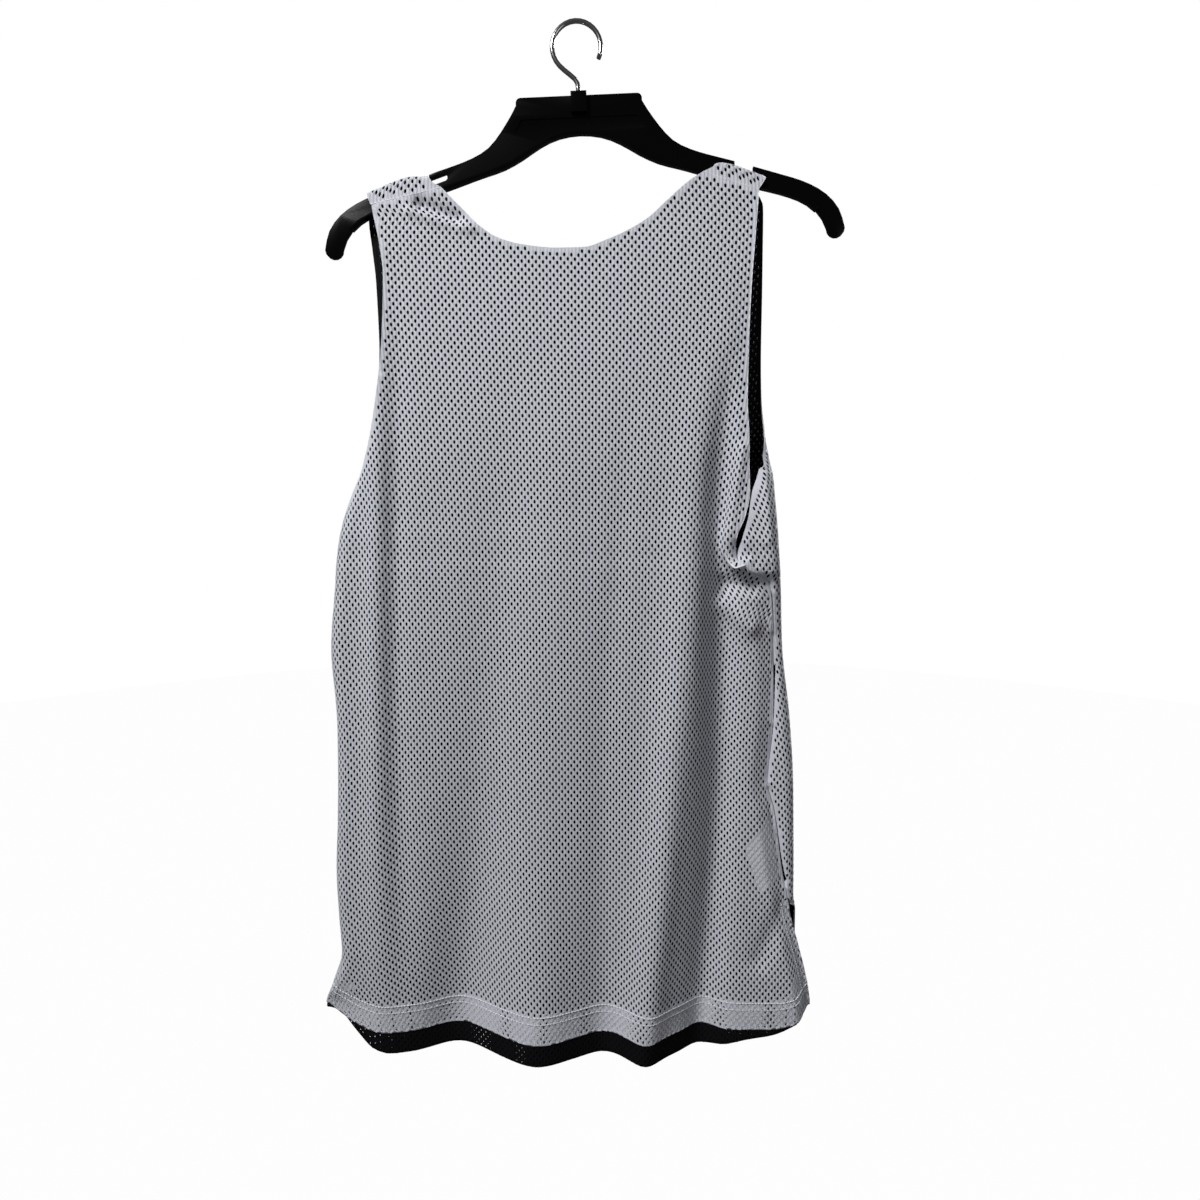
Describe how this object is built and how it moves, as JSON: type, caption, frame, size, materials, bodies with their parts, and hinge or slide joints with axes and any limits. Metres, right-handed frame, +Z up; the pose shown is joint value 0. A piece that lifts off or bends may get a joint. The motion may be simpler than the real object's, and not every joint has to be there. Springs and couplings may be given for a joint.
{
  "type": "reversible mesh basketball jersey on a clothes hanger",
  "caption": "Sleeveless reversible mesh basketball jersey, white outside and black inside, hanging by its straps on a black plastic clothes hanger with a wire hook.",
  "frame": {"origin": "inner top of the hanger's hook, where the rail touches it", "axes": "+Z up, +X to the right as one looks at the side that faces -Y, which is the back of the jersey; +Y from the back to the front"},
  "size_m": [0.4644, 0.067, 0.8968],
  "materials": {
    "white_mesh": "white polyester mesh knit with small upright holes, soft sheen",
    "black_mesh": "black polyester mesh knit with small upright holes",
    "label": "white satin care label without print",
    "hanger_plastic": "black moulded plastic, half gloss",
    "hook_wire": "bright plated steel wire"
  },
  "bodies": {
    "root": {"back_white": "white_mesh", "front_white": "white_mesh", "back_black": "black_mesh", "front_black": "black_mesh", "care_label": "label", "hanger_body": "hanger_plastic", "hanger_hook": "hook_wire"}
  },
  "joints": []
}
